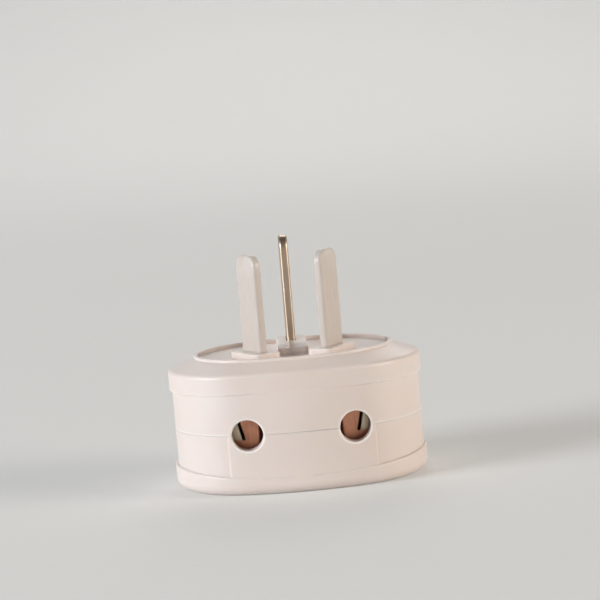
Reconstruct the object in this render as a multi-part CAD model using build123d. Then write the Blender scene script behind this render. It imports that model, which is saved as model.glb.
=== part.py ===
"""A plug adapter: three flat blades on top, two round socket holes in the front, in millimetres.

It stands on its base with the blades up. X runs along the body, -Y is the front with the two
round holes, +Y the side of the earth blade, and Z is up from the base.
The origin is the middle of the base.
"""
from build123d import *
from math import cos, hypot, radians, sin, tan
import os

# Body in plan; the front panel reaches past the socket holes by its margin
body_length = 45.8
body_depth = 33.2
side_bulge = 0.8
panel_margin = 0.75
grip_depth = 0.5
wall = 2.0

# Heights above the base; the lip's upper edge sags from its ends to the middle
base_thickness = 2.2
lip_height = 4.5
lip_sag = 1.6
split_height = 10.8
flange_bottom = 17.95

# Heights from one level of the top to the next
flange_height = 3.5
crown_rise = 1.85
rim_rise = 0.5
floor_depth = 0.75
pad_rise = 0.5

# Edge roundings of the housing
base_rounding = 2.0
flange_rounding = 0.8
edge_rounding = 0.25
step_rounding = 0.15
seam_rounding = 0.1
rim_rounding = 0.2

# Plug face: the raised oval rim and the pads round the blades
rim_end_inset = 4.9
rim_side_inset = 2.5
rim_width = 0.8
live_pad_length = 9.8
live_pad_width = 5.1
earth_pad_width = 5.4
earth_pad_front = 10.4
earth_pad_back = 0.7
pad_corner = 1.0

# Flat blades, on the circle of the three-pin pattern
live_radius = 7.92
live_angle = 30.0
earth_radius = 10.31
blade_offset = 2.2
blade_width = 6.3
blade_thickness = 1.6
blade_rounding = 0.5
tip_rounding = 2.2
live_blade_length = 17.4
earth_blade_length = 19.2
foot_length = 4.4
slot_clearance = 0.1

# Round socket holes in the front, the ribs beside them and the stops behind them
hole_pitch = 19.0
hole_diameter = 5.5
hole_rounding = 0.25
round_pin_diameter = 4.0
round_pin_length = 19.0
pin_end_clearance = 1.5
rib_width = 1.4
rib_length = 3.0
rib_height = 6.4
rib_offset = 0.6
stop_thickness = 1.2
stop_rise = 3.0

# Strips, contacts and rivets
bus_thickness = 0.6
bus_width = 4.4
rivet_reach = 2.6
contact_thickness = 0.5
contact_bend = 0.8
contact_height = 6.4
contact_gap = 0.35
contact_setback = 1.5
plate_sweep = 0.6
plate_overlap = 0.3
plate_slot_width = 0.6
plate_slot_offset = 1.0
plate_slot_drop = 1.4
plate_slot_slant = 13.0
contact_rivet_y = 1.0
contact_tab_length = 4.4
rivet_diameter = 2.0
rivet_head_diameter = 3.4
rivet_head_height = 0.6
rivet_clearance = 0.05

# Locating lip between the halves
tongue_width = 0.9
tongue_height = 1.2
seam_clearance = 0.1

# Case screws and the bosses and posts that they and the blades seat on
screw_inset = 6.0
screw_diameter = 2.9
screw_length = 14.0
screw_point = 0.7
screw_head_diameter = 5.0
screw_head_height = 1.8
screw_head_rounding = 0.6
screw_head_depth = 2.4
screw_head_clearance = 0.2
screw_recess_width = 0.8
screw_recess_length = 3.0
screw_recess_depth = 1.0
pilot_clearance = 0.05
shank_clearance = 0.1
pilot_end_clearance = 2.0
boss_diameter = 7.4
post_diameter = 2.8
post_clearance = 0.1

# How near an edge must lie to a place to be taken as being there
near = 1e-3

# Places that follow from the sizes above
flange_top = flange_bottom + flange_height
crown_top = flange_top + crown_rise
rim_top = crown_top + rim_rise
floor_height = rim_top - floor_depth
pad_top = rim_top + pad_rise
rim_length = body_length - 2 * rim_end_inset
rim_depth = body_depth - 2 * rim_side_inset
ceiling = floor_height - wall
foot_bottom = ceiling - blade_thickness
bus_bottom = foot_bottom - bus_thickness
tab_bottom = bus_bottom - contact_thickness
wall_length = body_length - 2 * grip_depth
grip_face_depth = body_depth - 2 * grip_depth
inner_length = wall_length - 2 * wall
inner_depth = grip_face_depth - 2 * wall
hole_x = hole_pitch / 2
panel_width = hole_pitch + hole_diameter + 2 * panel_margin
live_x = live_radius * cos(radians(live_angle))
live_y = -blade_offset - live_radius * sin(radians(live_angle))
live_turn = 90 - live_angle
earth_y = earth_radius - blade_offset
rivet_x = live_x - rivet_reach * cos(radians(live_angle))
rivet_y = live_y + rivet_reach * sin(radians(live_angle))
leaf_x = hole_x - round_pin_diameter / 2 - contact_gap - contact_thickness / 2
plate_end = hole_x + hole_diameter / 2 + plate_overlap
screw_x = body_length / 2 - screw_inset


def arc_sizes(length, depth):
    """An oval's end radius, side radius, and where its side arcs pass into its end arcs."""
    end_radius = depth / 2 - side_bulge
    end_x = length / 2 - end_radius
    side_radius = (end_x**2 + (depth / 2) ** 2 - end_radius**2) / (2 * side_bulge)
    reach = side_radius / (side_radius - end_radius)
    return end_radius, side_radius, end_x * reach, (side_radius - depth / 2) * (reach - 1)


def oval(length, depth):
    """The body's plan outline: two end arcs joined by two flatter, tangent side arcs."""
    joint_x, joint_y = arc_sizes(length, depth)[2:]
    front = ThreePointArc((-joint_x, -joint_y), (0, -depth / 2), (joint_x, -joint_y))
    right = ThreePointArc((joint_x, -joint_y), (length / 2, 0), (joint_x, joint_y))
    back = ThreePointArc((joint_x, joint_y), (0, depth / 2), (-joint_x, joint_y))
    left = ThreePointArc((-joint_x, joint_y), (-length / 2, 0), (-joint_x, -joint_y))
    return make_face([front, right, back, left])


def front_y(length, depth, x):
    """Where the front of an oval lies at the given x, on its side arc or its end arc."""
    end_radius, side_radius, joint_x = arc_sizes(length, depth)[:3]
    if x <= joint_x:
        return side_radius - depth / 2 - (side_radius**2 - x**2) ** 0.5
    return -((end_radius**2 - (x - length / 2 + end_radius) ** 2) ** 0.5)


outer_front = front_y(wall_length, body_depth, hole_x)
inner_front = front_y(inner_length, inner_depth, hole_x)


def slab(face, z_low, z_high):
    """A plan outline raised between two heights."""
    return Pos(0, 0, z_low) * extrude(face, z_high - z_low)


def block(x_size, y_size, z_low, z_high):
    """A box centred on the Z axis between two heights."""
    return slab(Rectangle(x_size, y_size), z_low, z_high)


def rod(diameter, z_low, z_high):
    """A round bar along the Z axis between two heights."""
    return slab(Circle(diameter / 2), z_low, z_high)


def within_walls(piece):
    """The piece cut off at the middle of the wall that it joins."""
    return piece & slab(oval(inner_length + wall, inner_depth + wall), 0, pad_top)


def mirrored(piece):
    """The same piece on the other side of the middle plane."""
    return mirror(piece, Plane.YZ)


def both_sides(piece):
    """The piece together with its mirror image."""
    return piece + mirrored(piece)


def at_live(piece):
    """A blade-shaped piece turned to the left live place, with its foot pointing inwards."""
    return Pos(-live_x, live_y) * Rot(0, 0, -live_turn) * piece


def at_earth(piece):
    """A blade-shaped piece turned to the earth place, with its foot pointing to the left."""
    return Pos(0, earth_y) * Rot(0, 0, 90) * piece


def blade(length):
    """A flat blade with an arched tip, standing on a foot bent off to one side."""
    tip = pad_top + length
    profile = Pos(0, (foot_bottom + tip) / 2) * Rectangle(blade_width, tip - foot_bottom)
    profile = fillet(profile.vertices().group_by(Axis.Y)[-1], tip_rounding)
    flat = extrude(Plane.XZ * profile, blade_thickness / 2, both=True)
    around = [e for e in flat.edges() if e.bounding_box().size.Y < near]
    flat = fillet([e for e in around if e.bounding_box().max.Z > foot_bottom + near], blade_rounding)
    foot_size = blade_thickness + foot_length
    foot = Pos(0, foot_length / 2) * Rectangle(blade_width - 2 * blade_rounding, foot_size)
    return flat + slab(foot, foot_bottom, ceiling)


def pad(x_size, y_size):
    """A raised pad with rounded corners and a softened top edge."""
    body = slab(RectangleRounded(x_size, y_size, pad_corner), floor_height - edge_rounding, pad_top)
    return fillet(body.edges().group_by(Axis.Z)[-1], rim_rounding)


def pads():
    """The raised pads that the blades stand in, before their slots are cut."""
    live = pad(live_pad_length, live_pad_width)
    earth = pad(earth_pad_width, blade_width + earth_pad_front + earth_pad_back)
    return both_sides(at_live(live)) + Pos(0, earth_y + (earth_pad_back - earth_pad_front) / 2) * earth


def blade_slots():
    """The slots that the three blades pass through."""
    gap = 2 * slot_clearance
    slot = block(blade_width + gap, blade_thickness + gap, foot_bottom, pad_top + gap)
    return both_sides(at_live(slot)) + at_earth(slot)


def locating_ring(grow, z_low, z_high):
    """The ring that locates the halves, left out along the front panel with its holes."""
    growth = 2 * (tongue_width + grow)
    outer = oval(inner_length + growth, inner_depth + growth)
    ring = slab(outer - oval(inner_length, inner_depth), z_low, z_high)
    front = Pos(0, -body_depth / 2) * block(panel_width - 2 * grow, body_depth, z_low, z_high)
    return ring - front


def socket_holes():
    """The two round holes through the front wall."""
    depth = inner_front + wall + body_depth / 2
    bore = Cylinder(hole_diameter / 2, depth, align=(Align.CENTER, Align.CENTER, Align.MIN))
    return both_sides(Pos(hole_x, -body_depth / 2, split_height) * Rot(-90, 0, 0) * bore)


def holed_wall(outline):
    """A body of the given outline with the socket holes in its front, their mouths rounded."""
    body = slab(outline, base_thickness, flange_top) - socket_holes()
    mouths = []
    for edge in body.edges():
        middle = edge @ 0.5
        reach = hypot(abs(middle.X) - hole_x, middle.Z - split_height)
        if abs(reach - hole_diameter / 2) < near and middle.Y < (outer_front + inner_front) / 2:
            mouths.append(edge)
    return fillet(mouths, hole_rounding)


def front_ribs():
    """Short ribs inside the front wall, beside the free end of each contact."""
    length = rib_length + wall
    rib = block(rib_width, length, split_height - rib_height / 2, split_height + rib_height / 2)
    middle_x = hole_x + hole_diameter / 2 + rib_offset + rib_width / 2
    middle_y = inner_front + rib_length - length / 2
    return both_sides(within_walls(Pos(middle_x, middle_y) * rib))


def lip():
    """The base with its rounded foot and its lip, whose upper edge sags towards the middle."""
    body = slab(oval(body_length, body_depth), 0, lip_height)
    sag_radius = ((body_length / 2) ** 2 + lip_sag**2) / (2 * lip_sag)
    sag = Rot(90, 0, 0) * Cylinder(sag_radius, 2 * body_depth)
    body -= Pos(0, 0, lip_height - lip_sag + sag_radius) * sag
    upper = [e for e in body.edges() if e.bounding_box().min.Z > base_thickness]
    body = fillet(upper, edge_rounding)
    return fillet(body.edges().group_by(Axis.Z)[0], base_rounding)


def upper_housing():
    """The plug-side half: flange, sloping crown, rim, sunken floor and pads."""
    shell = slab(oval(wall_length, body_depth), split_height, flange_top)
    shell = fillet(shell.edges().group_by(Axis.Z)[0], seam_rounding)
    shell &= holed_wall(oval(wall_length, body_depth))
    flange = slab(oval(body_length, body_depth), flange_bottom, flange_top)
    rim = oval(rim_length, rim_depth)
    flange += loft([Pos(0, 0, flange_top) * oval(body_length, body_depth), Pos(0, 0, crown_top) * rim])
    shoulder = [e for e in flange.edges() if abs(e.bounding_box().min.Z - flange_top) < near]
    flange = fillet([e for e in shoulder if e.bounding_box().size.Z < near], flange_rounding)
    flange = fillet(flange.edges().group_by(Axis.Z)[0], edge_rounding)
    shell += flange
    shell += slab(rim, crown_top - edge_rounding, rim_top)
    shell -= slab(oval(rim_length - 2 * rim_width, rim_depth - 2 * rim_width), floor_height, rim_top)
    shell = fillet(shell.edges().group_by(Axis.Z)[-1], rim_rounding)
    shell += pads()
    shell -= slab(oval(inner_length, inner_depth), split_height, ceiling)
    shell += locating_ring(0, split_height - tongue_height, split_height)
    shell += within_walls(both_sides(Pos(screw_x, 0) * rod(boss_diameter, split_height, ceiling)))
    shell += front_ribs() & block(body_length, body_depth, split_height, ceiling)
    shell -= blade_slots()
    pilot_end = screw_head_depth + screw_length + pilot_end_clearance
    pilot = rod(screw_diameter + 2 * pilot_clearance, split_height, pilot_end)
    head_top = ceiling + rivet_head_height + slot_clearance
    head_room = rod(rivet_head_diameter + 2 * slot_clearance, foot_bottom, head_top)
    return shell - both_sides(Pos(screw_x, 0) * pilot) - both_sides(Pos(-rivet_x, rivet_y) * head_room)


def lower_housing():
    """The base half: lip, grip recesses, front panel, screw bosses, posts and pin stops."""
    outline = oval(wall_length, body_depth) & Rectangle(panel_width, body_depth)
    outline += oval(wall_length, grip_face_depth)
    steps = [v for v in outline.vertices() if abs(abs(v.X) - panel_width / 2) < near]
    outline = fillet(steps, step_rounding)
    shell = lip() + (holed_wall(outline) & block(body_length, body_depth, 0, split_height))
    shell -= slab(oval(inner_length, inner_depth), base_thickness, split_height)
    boss = Pos(screw_x, 0) * rod(boss_diameter, base_thickness, split_height)
    shell += within_walls(both_sides(boss))
    shell += front_ribs() & block(body_length, body_depth, base_thickness, split_height)
    shell -= locating_ring(seam_clearance, split_height - tongue_height - seam_clearance, split_height)
    root = base_thickness - edge_rounding
    post_top = bus_bottom - rivet_head_height - post_clearance
    shell += both_sides(Pos(-rivet_x, rivet_y) * rod(post_diameter, root, post_top))
    earth_post = rod(post_diameter, root, foot_bottom - post_clearance)
    shell += Pos(-(blade_thickness + foot_length) / 2, earth_y) * earth_post
    stop_y = -body_depth / 2 + round_pin_length + pin_end_clearance + stop_thickness / 2
    stop = block(round_pin_diameter, stop_thickness, root, split_height + stop_rise)
    shell += both_sides(Pos(hole_x, stop_y) * stop)
    shank_hole = rod(screw_diameter + 2 * shank_clearance, 0, split_height)
    head_hole = rod(screw_head_diameter + 2 * screw_head_clearance, 0, screw_head_depth)
    return shell - both_sides(Pos(screw_x, 0) * (shank_hole + head_hole))


def rivet_hole(x, y, z_low, z_high):
    """The hole that a rivet passes through, to be cut from a strip or a foot."""
    return Pos(x, y) * rod(rivet_diameter + 2 * rivet_clearance, z_low, z_high)


def live_blade():
    """The left blade, drilled for the rivet that holds its strip."""
    return at_live(blade(live_blade_length)) - rivet_hole(-rivet_x, rivet_y, foot_bottom, ceiling)


def earth_blade():
    """The middle blade, held by its foot between the ceiling and a post."""
    return at_earth(blade(earth_blade_length))


def bus_strip():
    """The flat strip that carries current from a blade's foot to its socket contact."""
    run = contact_rivet_y - rivet_y
    strip = Pos(-rivet_x, rivet_y + run / 2) * Rot(0, 0, 90) * SlotCenterToCenter(run, bus_width)
    plate = slab(strip, bus_bottom, foot_bottom)
    plate -= rivet_hole(-rivet_x, rivet_y, bus_bottom, foot_bottom)
    return plate - rivet_hole(-rivet_x, contact_rivet_y, bus_bottom, foot_bottom)


def socket_contact():
    """A sprung copper contact: an upright leaf beside the pin, with a slotted plate across it."""
    low = split_height - contact_height / 2
    high = split_height + contact_height / 2
    front = inner_front + contact_setback
    back = contact_rivet_y + contact_tab_length / 2
    corners = [(leaf_x, back), (leaf_x, front), (plate_end, front + plate_sweep)]
    contact = slab(trace(FilletPolyline(*corners, radius=contact_bend), contact_thickness), low, high)
    slot = block(plate_slot_width, 2 * contact_setback, 0, contact_height)
    slot_x = hole_x + plate_slot_offset - plate_slot_drop * tan(radians(plate_slot_slant))
    contact -= Pos(slot_x, front, split_height - plate_slot_drop) * Rot(0, plate_slot_slant, 0) * slot
    contact += Pos(leaf_x, contact_rivet_y) * block(contact_thickness, contact_tab_length, low, bus_bottom)
    tab_inner = rivet_x - bus_width / 2
    tab_outer = leaf_x + contact_thickness / 2
    tab = block(tab_outer - tab_inner, contact_tab_length, tab_bottom, bus_bottom)
    contact += Pos((tab_inner + tab_outer) / 2, contact_rivet_y) * tab
    return mirrored(contact - rivet_hole(rivet_x, contact_rivet_y, tab_bottom, bus_bottom))


def rivet(x, y, z_low, z_high):
    """A rivet with a low round head at each end of the stack that it holds."""
    head = rivet_head_height
    shank = rod(rivet_diameter, z_low - head / 2, z_high + head / 2)
    top = rod(rivet_head_diameter, z_high, z_high + head)
    top = fillet(top.edges().group_by(Axis.Z)[-1], head / 2)
    foot = rod(rivet_head_diameter, z_low - head, z_low)
    foot = fillet(foot.edges().group_by(Axis.Z)[0], head / 2)
    return Pos(x, y) * (shank + top + foot)


def case_screw():
    """A self-tapping screw, driven up from the base, with a crossed recess in its head."""
    head_low = screw_head_depth - screw_head_height
    head = rod(screw_head_diameter, head_low, screw_head_depth)
    head = fillet(head.edges().group_by(Axis.Z)[0], screw_head_rounding)
    shank = rod(screw_diameter, screw_head_depth, screw_head_depth + screw_length)
    shank = chamfer(shank.edges().group_by(Axis.Z)[-1], screw_point)
    arm = block(screw_recess_length, screw_recess_width, head_low, head_low + screw_recess_depth)
    return Pos(-screw_x, 0) * (head + shank - arm - Rot(0, 0, 90) * arm)


def write(name, piece):
    """Save one node's solid as its own STEP file."""
    solid = piece.solid()
    export_step(solid, f"parts/{name}.step")
    print(name, len(piece.solids()), round(solid.volume, 1))


os.makedirs("parts", exist_ok=True)
write("upper_housing", upper_housing())
write("lower_housing", lower_housing())
write("live_blade", live_blade())
write("neutral_blade", mirrored(live_blade()))
write("earth_blade", earth_blade())
write("live_bus_strip", bus_strip())
write("neutral_bus_strip", mirrored(bus_strip()))
write("live_contact", socket_contact())
write("neutral_contact", mirrored(socket_contact()))
blade_rivet = rivet(-rivet_x, rivet_y, bus_bottom, ceiling)
contact_rivet = rivet(-rivet_x, contact_rivet_y, tab_bottom, foot_bottom)
write("live_blade_rivet", blade_rivet)
write("neutral_blade_rivet", mirrored(blade_rivet))
write("live_contact_rivet", contact_rivet)
write("neutral_contact_rivet", mirrored(contact_rivet))
write("left_case_screw", case_screw())
write("right_case_screw", mirrored(case_screw()))
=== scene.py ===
"""The finishes, stage and camera of a white plug adapter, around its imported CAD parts.

Everything is in metres in the CAD parts' own frame: the adapter stands on its base at z 0, its
blades point up, and -Y is its front with the two round holes.
"""
import math

import bmesh
import bpy
from bpy.props import FloatProperty, FloatVectorProperty, PointerProperty
from bpy.types import Operator, Panel, PropertyGroup
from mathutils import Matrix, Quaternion, Vector


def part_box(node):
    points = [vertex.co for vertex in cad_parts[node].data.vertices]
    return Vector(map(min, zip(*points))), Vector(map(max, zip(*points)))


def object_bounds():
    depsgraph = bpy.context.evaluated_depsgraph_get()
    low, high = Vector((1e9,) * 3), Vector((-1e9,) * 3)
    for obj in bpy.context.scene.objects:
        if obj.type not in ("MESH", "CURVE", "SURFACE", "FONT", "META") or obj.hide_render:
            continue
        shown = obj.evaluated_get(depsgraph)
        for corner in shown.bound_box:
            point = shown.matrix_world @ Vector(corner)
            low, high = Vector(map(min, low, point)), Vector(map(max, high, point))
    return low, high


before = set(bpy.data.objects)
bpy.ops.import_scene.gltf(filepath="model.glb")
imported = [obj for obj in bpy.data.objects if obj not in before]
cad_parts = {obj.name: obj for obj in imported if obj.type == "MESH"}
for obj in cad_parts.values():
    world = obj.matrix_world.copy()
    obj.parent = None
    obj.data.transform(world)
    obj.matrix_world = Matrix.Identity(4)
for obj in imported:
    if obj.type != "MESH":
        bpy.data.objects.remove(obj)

bl_info = {
    "name": "Plug adapter",
    "version": (1, 0, 0),
    "blender": (4, 5, 0),
    "location": "3D View > Sidebar > Plug adapter",
    "description": "Finishes, stage and camera for a white moulded plug adapter",
    "category": "Object",
}

CAD_BOX = [list(corner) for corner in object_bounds()]

HOUSING = ("upper_housing", "lower_housing")
COATED_BLADES = ("live_blade", "neutral_blade")
EARTH_BLADE = ("earth_blade",)
CONTACTS = ("live_contact", "neutral_contact")
STRIPS_AND_RIVETS = (
    "live_bus_strip", "neutral_bus_strip", "live_blade_rivet", "neutral_blade_rivet",
    "live_contact_rivet", "neutral_contact_rivet",
)
CASE_SCREWS = ("left_case_screw", "right_case_screw")

MM = 0.001

# Heights on the CAD parts. The upper half ends in a tongue that reaches below the seam, and the
# lip along the base rises from its middle to its ends.
TONGUE_HEIGHT = 1.2 * MM
SEAM_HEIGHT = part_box("upper_housing")[0].z + TONGUE_HEIGHT
PAD_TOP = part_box("upper_housing")[1].z
BLADE_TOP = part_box("live_blade")[1].z
RIM_FOOT = PAD_TOP - 1.0 * MM
FLANGE_EDGE = PAD_TOP - 6.2 * MM
LIP_MIDDLE = 3.0 * MM
LIP_ENDS = 4.6 * MM

# The front panel, its two round holes at the height of the seam, and the skin of the front wall
PANEL_EDGE = 13.0 * MM
HOLE_X = 9.5 * MM
MOUTH_RADIUS = 2.95 * MM
FRONT_SKIN = -14.0 * MM

# The slot in each contact, at the height of the seam, its foot, and how it leans outwards
SLOT_X = 10.5 * MM
SLOT_FOOT = SEAM_HEIGHT - 1.4 * MM
SLOT_LEAN = math.tan(math.radians(13))

# Painted shade at the feet of the coated blades, where they meet the pads
BLADE_FOOT_SHADE = (0.36, 0.29, 0.24)
STEEL_TARNISH = (0.30, 0.29, 0.27)

# Each lamp's place and width, its colour, and the setting that holds its power
LAMPS = {
    "key_lamp": ((-1.20, -0.50, 0.34), 0.60, (0.96, 0.98, 1.0), "key_power"),
    "fill_lamp": ((1.20, -0.50, 0.32), 0.60, (1.0, 0.90, 0.78), "fill_power"),
    "back_lamp": ((0.10, 1.20, 0.80), 0.70, (1.0, 0.98, 0.96), "back_power"),
}
BLADES_MIDDLE_Y = -2.2 * MM


def number_property(name, description, default, **options):
    """A number that the user can set, with its limits and unit among the options."""
    return FloatProperty(name=name, description=description, default=default, **options)


def share_property(name, description, default):
    """A share from 0 to 1 that the user can set."""
    return number_property(name, description, default, min=0, max=1, subtype="FACTOR")


def length_property(name, description, default):
    """A length in metres that the user can set."""
    return number_property(name, description, default, min=0, unit="LENGTH", precision=5)


def angle_property(name, description, degrees):
    """An angle that the user can set."""
    return number_property(name, description, math.radians(degrees), subtype="ANGLE")


def power_property(name, description, watts):
    """A lamp's power that the user can set."""
    return number_property(name, description, watts, min=0, unit="POWER")


def colour_property(name, description, default):
    """A colour that the user can set, in linear light."""
    return FloatVectorProperty(
        name=name, description=description, default=default, size=3, min=0, max=1, subtype="COLOR"
    )


class HousingSettings(PropertyGroup):
    """The moulded plastic of both halves."""

    colour: colour_property("Colour", "Plastic where it is clean", (0.80, 0.715, 0.68))
    aged_colour: colour_property("Aged colour", "Plastic that has yellowed", (0.785, 0.69, 0.64))
    # Painted highlight: this pale colour is painted on the rounded edges and hole mouths where
    # light catches them
    edge_highlight_colour: colour_property("Rubbed colour", "Plastic rubbed pale", (0.91, 0.855, 0.825))
    # Painted shade: this dark colour and its share paint shade, broken up like dirt, into the
    # creases, and also colour the real dust specks
    shade_and_dust_colour: colour_property("Grime colour", "Dirt in the creases", (0.36, 0.28, 0.22))
    crease_shade_and_dust: share_property("Grime", "How much dirt shows in the creases", 0.14)
    roughness: share_property("Roughness", "Mean roughness of the moulded skin", 0.32)
    translucency: share_property("Translucency", "Share of light that goes inside", 0.3)
    grain_size: length_property("Grain size", "Size of the skin's grain", 0.6 * MM)
    wave_size: length_property("Wave size", "Size of the walls' shallow waves", 9 * MM)


class BladeSettings(PropertyGroup):
    """The coated live and neutral blades, and the bare earth blade."""

    coat_colour: colour_property("Coat colour", "Coating of two blades", (0.59, 0.525, 0.48))
    coat_worn: colour_property("Worn coat colour", "Coating that is rubbed", (0.66, 0.62, 0.58))
    coat_roughness: share_property("Coat roughness", "Mean roughness of the coating", 0.34)
    brass_colour: colour_property("Brass colour", "Bare brass", (0.55, 0.44, 0.34))
    brass_tarnish: colour_property("Tarnish colour", "Brown brass", (0.46, 0.36, 0.275))
    brass_roughness: share_property("Brass roughness", "Mean roughness of the brass", 0.34)
    streak_size: length_property("Streak size", "Width of the streaks on a blade", 0.16 * MM)


class InnerSettings(PropertyGroup):
    """The metal pieces inside, and the case screws."""

    copper_colour: colour_property("Copper colour", "The contacts", (0.67, 0.315, 0.20))
    copper_tarnish: colour_property("Copper tarnish", "Darkened copper", (0.42, 0.19, 0.13))
    tin_colour: colour_property("Tin colour", "The contacts' tinned prongs", (0.64, 0.56, 0.42))
    strip_colour: colour_property("Strip colour", "Strips and rivets", (0.62, 0.46, 0.27))
    steel_colour: colour_property("Steel colour", "The case screws", (0.56, 0.56, 0.55))
    metal_roughness: share_property("Metal roughness", "Mean roughness of the metal", 0.38)


class StageSettings(PropertyGroup):
    """The floor, the lamps, the sky and the camera."""

    floor_colour: colour_property("Floor colour", "Floor and backdrop", (0.74, 0.74, 0.73))
    near_glow: share_property("Near glow", "What the picture adds to the floor", 0.20)
    far_glow: share_property("Far glow", "What the picture adds to the backdrop", 0.22)
    key_power: power_property("Key power", "Cool lamp on the left", 16.0)
    fill_power: power_property("Fill power", "Warm lamp on the right", 11.0)
    back_power: power_property("Back power", "Lamp behind", 3.6)
    horizon_light: number_property("Horizon light", "Light from all sides", 0.36, min=0)
    zenith_light: number_property("Zenith light", "Light from overhead", 0.12, min=0)
    azimuth: angle_property("Azimuth", "Camera's turn about the adapter", -1.41)
    elevation: angle_property("Elevation", "Camera's angle above level", 7.55)
    roll: angle_property("Roll", "Lean of the adapter in the picture", 4.83)
    distance: length_property("Distance", "Camera to the plug face", 0.4)
    lens: number_property("Lens", "Focal length in millimetres", 133.1, min=1, unit="CAMERA")
    aim_right: number_property("Aim right", "Right of the plug face", 1.32 * MM, unit="LENGTH")
    aim_up: number_property("Aim up", "Above the plug face", 8.15 * MM, unit="LENGTH")


class Recipe:
    """One material's node tree, with short ways to add and join nodes."""

    def __init__(self, name):
        self.material = bpy.data.materials.new(name)
        self.material.use_nodes = True
        self.tree = self.material.node_tree
        self.shader = self.tree.nodes["Principled BSDF"]
        self.place = self.tree.nodes.new("ShaderNodeTexCoord").outputs["Object"]

    def join(self, source, socket):
        """Feed a socket from another node, or set its value."""
        if isinstance(source, bpy.types.NodeSocket):
            self.tree.links.new(source, socket)
        else:
            socket.default_value = source

    def noise(self, size, detail=3.0, stretch=(1.0, 1.0, 1.0)):
        """Noise with features of the given size, drawn out along the axis of a small stretch."""
        mapping = self.tree.nodes.new("ShaderNodeMapping")
        mapping.inputs["Scale"].default_value = stretch
        self.join(self.place, mapping.inputs["Vector"])
        texture = self.tree.nodes.new("ShaderNodeTexNoise")
        texture.inputs["Scale"].default_value = 1 / size
        texture.inputs["Detail"].default_value = detail
        self.join(mapping.outputs["Vector"], texture.inputs["Vector"])
        return texture.outputs["Fac"]

    def specks(self, spacing, radius):
        """1 at the middle of small scattered specks, falling to 0 at their radius."""
        texture = self.tree.nodes.new("ShaderNodeTexVoronoi")
        texture.inputs["Scale"].default_value = 1 / spacing
        self.join(self.place, texture.inputs["Vector"])
        return self.ramp(texture.outputs["Distance"], radius / spacing, 0.0)

    def ramp(self, value, low, high, to_low=0.0, to_high=1.0):
        """A value carried smoothly from one range into another."""
        node = self.tree.nodes.new("ShaderNodeMapRange")
        node.interpolation_type = "SMOOTHSTEP"
        numbers = (low, high, to_low, to_high)
        self.join(value, node.inputs["Value"])
        for name, number in zip(("From Min", "From Max", "To Min", "To Max"), numbers):
            node.inputs[name].default_value = number
        return node.outputs["Result"]

    def maths(self, operation, first, second=0.0):
        """Two values joined by one operation."""
        node = self.tree.nodes.new("ShaderNodeMath")
        node.operation = operation
        self.join(first, node.inputs[0])
        self.join(second, node.inputs[1])
        return node.outputs["Value"]

    def product(self, first, second):
        """Two values multiplied."""
        return self.maths("MULTIPLY", first, second)

    def larger(self, first, second):
        """The larger of two values."""
        return self.maths("MAXIMUM", first, second)

    def difference(self, first, second):
        """The first value less the second."""
        return self.maths("SUBTRACT", first, second)

    def apart(self, first, second):
        """How far two values lie apart."""
        return self.maths("ABSOLUTE", self.difference(first, second))

    def along(self, axis):
        """The place along one axis."""
        node = self.tree.nodes.new("ShaderNodeSeparateXYZ")
        self.join(self.place, node.inputs["Vector"])
        return node.outputs[axis]

    def off_middle(self):
        """The distance to the left or right of the middle."""
        return self.maths("ABSOLUTE", self.along("X"))

    def near_height(self, level, reach, rise=0.0):
        """1 at a height, falling to 0 at the given reach; the height may rise to both ends."""
        across = self.maths("DIVIDE", self.along("X"), CAD_BOX[1][0])
        bowed = self.product(self.product(across, across), rise)
        flat = self.difference(self.along("Z"), bowed)
        return self.ramp(self.apart(flat, level), reach, 0.0)

    def hole_mouths(self):
        """1 on the rounded mouths of the two socket holes, falling to 0 beside them."""
        mouth_reach, skin_reach = 0.3 * MM, 1 * MM
        across = self.difference(self.off_middle(), HOLE_X)
        upward = self.difference(self.along("Z"), SEAM_HEIGHT)
        squares = [self.product(value, value) for value in (across, upward)]
        from_centre = self.maths("SQRT", self.maths("ADD", *squares))
        ring = self.ramp(self.apart(from_centre, MOUTH_RADIUS), mouth_reach, 0.0)
        in_front = self.ramp(self.along("Y"), FRONT_SKIN, FRONT_SKIN - skin_reach)
        return self.product(ring, in_front)

    def outer_prongs(self):
        """1 on the contacts beyond their leaning slots and above the slots' feet, else 0."""
        slot_reach, below_foot, above_foot = 0.3 * MM, 0.3 * MM, 0.5 * MM
        lean = self.product(self.difference(self.along("Z"), SEAM_HEIGHT), SLOT_LEAN)
        upright = self.difference(self.off_middle(), lean)
        beyond = self.ramp(upright, SLOT_X, SLOT_X + slot_reach)
        above = self.ramp(self.along("Z"), SLOT_FOOT - below_foot, SLOT_FOOT + above_foot)
        return self.product(beyond, above)

    def blend(self, share, first, second):
        """Two colours mixed by a share."""
        node = self.tree.nodes.new("ShaderNodeMix")
        node.data_type = "RGBA"
        self.join(share, node.inputs["Factor"])
        for colour, socket in ((first, node.inputs[6]), (second, node.inputs[7])):
            self.join(colour if isinstance(colour, bpy.types.NodeSocket) else (*colour, 1), socket)
        return node.outputs[2]

    def bump(self, layers):
        """Bumps laid one over another, each a height pattern with its depth in metres."""
        normal = None
        for pattern, depth in layers:
            node = self.tree.nodes.new("ShaderNodeBump")
            node.inputs["Distance"].default_value = depth
            self.join(pattern, node.inputs["Height"])
            if normal:
                self.join(normal, node.inputs["Normal"])
            normal = node.outputs["Normal"]
        self.join(normal, self.shader.inputs["Normal"])

    def finish(self, colour, roughness, metallic=0.0):
        """Feed the shader and hand back the material."""
        self.join(colour, self.shader.inputs["Base Color"])
        self.join(roughness, self.shader.inputs["Roughness"])
        self.shader.inputs["Metallic"].default_value = metallic
        return self.material


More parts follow.
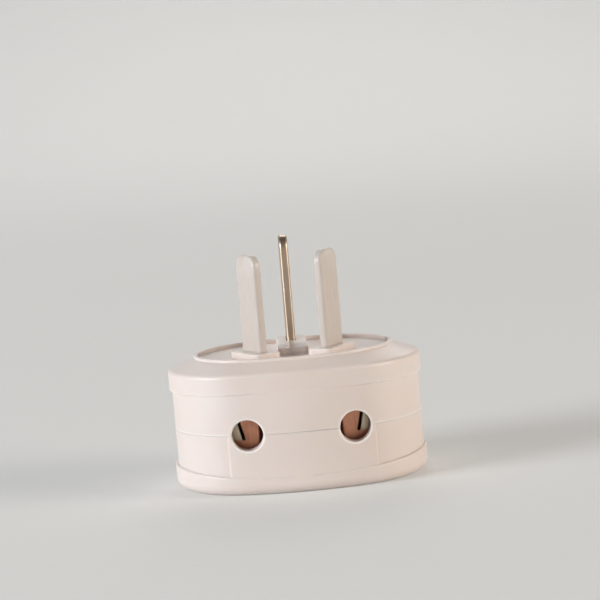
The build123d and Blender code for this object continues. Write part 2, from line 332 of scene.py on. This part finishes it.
def moulded_plastic(look):
    """White plastic, yellowed in patches, with painted shade and patchy dirt in its creases and a
    painted highlight along its edges and hole mouths.
    """
    yellow_size, crease_patch_size, polish_size = 14 * MM, 3 * MM, 9 * MM
    lip_reach, rim_reach, edge_reach = 0.3 * MM, 0.25 * MM, 0.3 * MM
    speck_spacing, speck_radius, speck_share = 3.4 * MM, 0.1 * MM, 0.12
    seam_rounding, panel_reach, middle_highlight, end_highlight = 0.2 * MM, 1 * MM, 0.1, 0.7
    smoother, rougher = 0.03, 0.05
    wave_depth, grain_depth = 0.05 * MM, 0.004 * MM
    light_depth, light_spread = 1.2 * MM, (1.0, 0.7, 0.5)

    recipe = Recipe("moulded_plastic")
    aged = recipe.ramp(recipe.noise(yellow_size, detail=2.0), 0.35, 0.7)
    colour = recipe.blend(aged, look.colour, look.aged_colour)

    # Painted shade in the crease along the lip and at the rim's foot, broken up in patches like
    # dirt
    lip = recipe.near_height(LIP_MIDDLE, lip_reach, LIP_ENDS - LIP_MIDDLE)
    creases = recipe.larger(lip, recipe.near_height(RIM_FOOT, rim_reach))
    patchy = recipe.ramp(recipe.noise(crease_patch_size, detail=4.0), 0.35, 0.75)
    crease_shade_and_dirt = recipe.product(recipe.product(creases, patchy), look.crease_shade_and_dust)
    dust = recipe.product(recipe.specks(speck_spacing, speck_radius), speck_share * look.crease_shade_and_dust)
    colour = recipe.blend(recipe.larger(crease_shade_and_dirt, dust), colour, look.shade_and_dust_colour)

    # Painted highlight along the rounded edges of the seam and the flange, stronger beyond the
    # panel than across it, and round the holes' mouths
    seam = recipe.near_height(SEAM_HEIGHT + seam_rounding, edge_reach)
    edges = recipe.larger(seam, recipe.near_height(FLANGE_EDGE, edge_reach))
    highlight_share = recipe.ramp(
        recipe.off_middle(), PANEL_EDGE - panel_reach, PANEL_EDGE + panel_reach,
        middle_highlight, end_highlight,
    )
    edge_highlight = recipe.larger(recipe.product(edges, highlight_share), recipe.hole_mouths())
    colour = recipe.blend(edge_highlight, colour, look.edge_highlight_colour)

    polish = recipe.noise(polish_size, detail=2.0)
    roughness = recipe.ramp(polish, 0.2, 0.8, look.roughness - smoother, look.roughness + rougher)
    recipe.bump([
        (recipe.noise(look.wave_size, detail=1.0), wave_depth),
        (recipe.noise(look.grain_size, detail=2.0), grain_depth),
    ])
    recipe.shader.inputs["Subsurface Weight"].default_value = look.translucency
    recipe.shader.inputs["Subsurface Radius"].default_value = light_spread
    recipe.shader.inputs["Subsurface Scale"].default_value = light_depth
    return recipe.finish(colour, roughness)


def white_coating(look):
    """A white coating, streaked along the blade, paler at its tip and with painted shade at its
    foot.
    """
    lengthwise = (1.0, 1.0, 0.06)
    tip_reach, foot_reach = 6 * MM, 0.5 * MM
    cloud_size, dent_size = 4 * MM, 2.5 * MM
    streak_depth, dent_depth = 0.003 * MM, 0.02 * MM
    streak_wear, foot_shade = 0.1, 0.25
    smoother, rougher = 0.08, 0.10

    recipe = Recipe("white_coating")
    streaks = recipe.noise(look.streak_size, detail=3.0, stretch=lengthwise)
    tip = recipe.ramp(recipe.along("Z"), BLADE_TOP - tip_reach, BLADE_TOP)
    cloudy = recipe.ramp(recipe.noise(cloud_size, detail=3.0), 0.3, 0.7)
    streaked = recipe.product(recipe.ramp(streaks, 0.4, 0.7), streak_wear)
    worn = recipe.larger(streaked, recipe.product(tip, cloudy))
    colour = recipe.blend(worn, look.coat_colour, look.coat_worn)
    # Painted shade where the blade meets its pad
    foot = recipe.near_height(PAD_TOP, foot_reach)
    colour = recipe.blend(recipe.product(foot, foot_shade), colour, BLADE_FOOT_SHADE)
    mean = look.coat_roughness
    roughness = recipe.ramp(streaks, 0.3, 0.7, mean - smoother, mean + rougher)
    recipe.bump([(streaks, streak_depth), (recipe.noise(dent_size, detail=2.0), dent_depth)])
    return recipe.finish(colour, roughness)


def bare_brass(look):
    """Old brass, brown in patches, cleaner and smoother where it is scraped lengthwise."""
    lengthwise, longish = (1.0, 1.0, 0.04), (1.0, 1.0, 0.35)
    patch_size, pit_size = 1.8 * MM, 0.3 * MM
    scratch_depth, pit_depth = 0.005 * MM, 0.003 * MM
    scraped_brown, rougher, smoother = 0.6, 0.08, 0.06

    recipe = Recipe("bare_brass")
    scratches = recipe.noise(look.streak_size, detail=5.0, stretch=lengthwise)
    patches = recipe.ramp(recipe.noise(patch_size, detail=5.0, stretch=longish), 0.35, 0.65)
    brown = recipe.product(patches, recipe.ramp(scratches, 0.65, 0.35, scraped_brown, 1.0))
    colour = recipe.blend(brown, look.brass_colour, look.brass_tarnish)
    mean = look.brass_roughness
    roughness = recipe.ramp(scratches, 0.3, 0.7, mean + rougher, mean - smoother)
    recipe.bump([(scratches, scratch_depth), (recipe.noise(pit_size, detail=4.0), pit_depth)])
    return recipe.finish(colour, roughness, metallic=1.0)


def rolled_metal(name, colour, tarnish, roughness, grain, tin=None):
    """Metal with its grain along one axis, patches of tarnish and perhaps tinned prongs."""
    streak_size, patch_size, streak_depth = 0.3 * MM, 2.2 * MM, 0.005 * MM
    least_tarnish, smoother, rougher = 0.5, 0.08, 0.14

    recipe = Recipe(name)
    streaks = recipe.noise(streak_size, detail=4.0, stretch=grain)
    patches = recipe.ramp(recipe.noise(patch_size, detail=4.0), 0.35, 0.75)
    shade = recipe.product(patches, recipe.ramp(streaks, 0.25, 0.75, least_tarnish, 1.0))
    colour = recipe.blend(shade, colour, tarnish)
    if tin:
        colour = recipe.blend(recipe.outer_prongs(), colour, tin)
    rough = recipe.ramp(streaks, 0.3, 0.7, roughness - smoother, roughness + rougher)
    recipe.bump([(streaks, streak_depth)])
    return recipe.finish(colour, rough, metallic=1.0)


def coat(names, material):
    """Give CAD parts one material."""
    for name in names:
        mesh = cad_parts[name].data
        mesh.materials.clear()
        mesh.materials.append(material)


class HousingOperator(Operator):
    """Finish both halves of the housing as moulded white plastic"""

    bl_idname = "adapter.housing"
    bl_label = "Housing"

    def execute(self, context):
        coat(HOUSING, moulded_plastic(context.scene.adapter_housing))
        return {"FINISHED"}


class BladesOperator(Operator):
    """Finish the two coated blades and the bare earth blade"""

    bl_idname = "adapter.blades"
    bl_label = "Blades"

    def execute(self, context):
        look = context.scene.adapter_blades
        coat(COATED_BLADES, white_coating(look))
        coat(EARTH_BLADE, bare_brass(look))
        return {"FINISHED"}


class InnerMetalOperator(Operator):
    """Finish the contacts, strips, rivets and case screws"""

    bl_idname = "adapter.inner_metal"
    bl_label = "Inner metal"

    def execute(self, context):
        look = context.scene.adapter_inner
        rough = look.metal_roughness
        upright, front_to_back, even = (1.0, 1.0, 0.1), (1.0, 0.1, 1.0), (1.0, 1.0, 1.0)
        copper, tarnish = look.copper_colour, look.copper_tarnish
        coat(CONTACTS, rolled_metal(
            "contact_copper", copper, tarnish, rough, upright, look.tin_colour
        ))
        coat(STRIPS_AND_RIVETS, rolled_metal(
            "strip_brass", look.strip_colour, tarnish, rough, front_to_back
        ))
        coat(CASE_SCREWS, rolled_metal(
            "screw_steel", look.steel_colour, STEEL_TARNISH, rough, even
        ))
        return {"FINISHED"}


def floor_paper(look):
    """Pale matt paper, to which the picture adds a glow that no lamp of the scene gives."""
    tint_size, darker, most_tint = 0.4, 0.95, 0.25
    fibre_size, fibre_depth, sheen_size = 2 * MM, 0.05 * MM, 10 * MM
    glow_from, glow_to = 0.3, 1.7

    recipe = Recipe("floor_paper")
    tint = recipe.ramp(recipe.noise(tint_size, detail=2.0), 0.3, 0.7, 0.0, most_tint)
    paper = recipe.blend(tint, look.floor_colour, [darker * c for c in look.floor_colour])
    recipe.bump([(recipe.noise(fibre_size, detail=3.0), fibre_depth)])
    ray = recipe.tree.nodes.new("ShaderNodeLightPath").outputs
    seen = recipe.larger(ray["Is Camera Ray"], ray["Is Glossy Ray"])
    glow = recipe.ramp(recipe.along("Y"), glow_from, glow_to, look.near_glow, look.far_glow)
    recipe.shader.inputs["Specular IOR Level"].default_value = 0
    recipe.join(paper, recipe.shader.inputs["Emission Color"])
    recipe.join(recipe.product(seen, glow), recipe.shader.inputs["Emission Strength"])
    return recipe.finish(paper, recipe.ramp(recipe.noise(sheen_size), 0.3, 0.7, 0.75, 0.9))


def floor_and_backdrop(look):
    """A floor that curves up into a backdrop behind the adapter."""
    half_width, near, far, bend, wall_height, bend_steps = 3.0, -2.0, 1.0, 0.8, 2.0, 24

    mesh = bpy.data.meshes.new("floor")
    form = bmesh.new()
    start = [form.verts.new((-half_width, y, 0)) for y in (near, far)]
    form.edges.new(start)
    swept = bmesh.ops.spin(
        form, geom=[start[1]], cent=(0, far, bend), axis=(1, 0, 0), angle=math.pi / 2,
        steps=bend_steps,
    )
    top = [v for v in swept["geom_last"] if isinstance(v, bmesh.types.BMVert)][0]
    wall = bmesh.ops.extrude_vert_indiv(form, verts=[top])
    bmesh.ops.translate(form, verts=wall["verts"], vec=(0, 0, wall_height))
    sheet = bmesh.ops.extrude_edge_only(form, edges=list(form.edges))
    moved = [v for v in sheet["geom"] if isinstance(v, bmesh.types.BMVert)]
    bmesh.ops.translate(form, verts=moved, vec=(2 * half_width, 0, 0))
    bmesh.ops.recalc_face_normals(form, faces=form.faces)
    for face in form.faces:
        face.smooth = True
    form.to_mesh(mesh)
    form.free()
    floor = bpy.data.objects.new("floor", mesh)
    bpy.context.scene.collection.objects.link(floor)
    mesh.materials.append(floor_paper(look))


def sky_light(look):
    """White light from all sides that weakens towards the zenith."""
    world = bpy.data.worlds.new("sky_light")
    world.use_nodes = True
    tree = world.node_tree
    direction = tree.nodes.new("ShaderNodeTexCoord").outputs["Generated"]
    height = tree.nodes.new("ShaderNodeSeparateXYZ")
    tree.links.new(direction, height.inputs["Vector"])
    weaken = tree.nodes.new("ShaderNodeMapRange")
    weaken.inputs["To Min"].default_value = look.horizon_light
    weaken.inputs["To Max"].default_value = look.zenith_light
    tree.links.new(height.outputs["Z"], weaken.inputs["Value"])
    sky = tree.nodes["Background"]
    sky.inputs["Color"].default_value = (1.0, 1.0, 1.0, 1.0)
    tree.links.new(weaken.outputs["Result"], sky.inputs["Strength"])
    bpy.context.scene.world = world


def lamp(name, place, aim, width, power, colour):
    """A square soft lamp that points at the adapter."""
    light = bpy.data.lights.new(name, "AREA")
    light.size = width
    light.energy = power
    light.color = colour
    lamp_object = bpy.data.objects.new(name, light)
    lamp_object.location = place
    lamp_object.rotation_euler = (aim - Vector(place)).to_track_quat("-Z", "Y").to_euler()
    bpy.context.scene.collection.objects.link(lamp_object)


def camera(look, face):
    """The camera in front of the plug face, rolled and aimed to frame the whole adapter."""
    back = Vector((
        math.sin(look.azimuth) * math.cos(look.elevation),
        -math.cos(look.azimuth) * math.cos(look.elevation),
        math.sin(look.elevation),
    ))
    turn = (-back).to_track_quat("-Z", "Y") @ Quaternion((0, 0, 1), -look.roll)
    place = face + back * look.distance
    aim = face + turn @ Vector((look.aim_right, look.aim_up, 0))
    to_aim = (aim - place).normalized()
    swing = (-back).rotation_difference(to_aim)
    view = bpy.data.objects.new("camera", bpy.data.cameras.new("camera"))
    view.data.lens = look.lens
    view.location = place
    view.rotation_mode = "QUATERNION"
    view.rotation_quaternion = swing @ turn
    bpy.context.scene.collection.objects.link(view)
    bpy.context.scene.camera = view


class StageOperator(Operator):
    """Make the floor, the lamps, the sky and the camera"""

    bl_idname = "adapter.stage"
    bl_label = "Stage"

    def execute(self, context):
        look = context.scene.adapter_stage
        floor_and_backdrop(look)
        middle = (Vector(CAD_BOX[0]) + Vector(CAD_BOX[1])) / 2
        for name, (place, width, colour, power) in LAMPS.items():
            lamp(name, place, middle, width, getattr(look, power), colour)
        sky_light(look)
        camera(look, Vector((0, BLADES_MIDDLE_Y, PAD_TOP)))
        context.scene.view_settings.view_transform = "Standard"
        return {"FINISHED"}


OPERATORS = (HousingOperator, BladesOperator, InnerMetalOperator, StageOperator)

# Where the scene keeps the settings of each operator, in the operators' order
SETTINGS = (
    ("adapter_housing", HousingSettings),
    ("adapter_blades", BladeSettings),
    ("adapter_inner", InnerSettings),
    ("adapter_stage", StageSettings),
)


class AdapterPanel(Panel):
    """The adapter's pieces and their settings"""

    bl_idname = "VIEW3D_PT_adapter"
    bl_label = "Plug adapter"
    bl_space_type = "VIEW_3D"
    bl_region_type = "UI"
    bl_category = "Plug adapter"

    def draw(self, context):
        for operator, (place, settings) in zip(OPERATORS, SETTINGS):
            box = self.layout.box()
            box.operator(operator.bl_idname)
            group = getattr(context.scene, place)
            for name in settings.__annotations__:
                box.prop(group, name)


def register():
    """Add the settings, the operators and the panel to Blender."""
    for place, settings in SETTINGS:
        bpy.utils.register_class(settings)
        setattr(bpy.types.Scene, place, PointerProperty(type=settings))
    for kind in (*OPERATORS, AdapterPanel):
        bpy.utils.register_class(kind)


def unregister():
    """Take out all that register() adds, in the opposite order."""
    for kind in (AdapterPanel, *reversed(OPERATORS)):
        bpy.utils.unregister_class(kind)
    for place, settings in reversed(SETTINGS):
        delattr(bpy.types.Scene, place)
        bpy.utils.unregister_class(settings)


def main():
    """Build the whole scene."""
    register()
    bpy.ops.adapter.housing()
    bpy.ops.adapter.blades()
    bpy.ops.adapter.inner_metal()
    bpy.ops.adapter.stage()


if __name__ == "__main__":
    main()
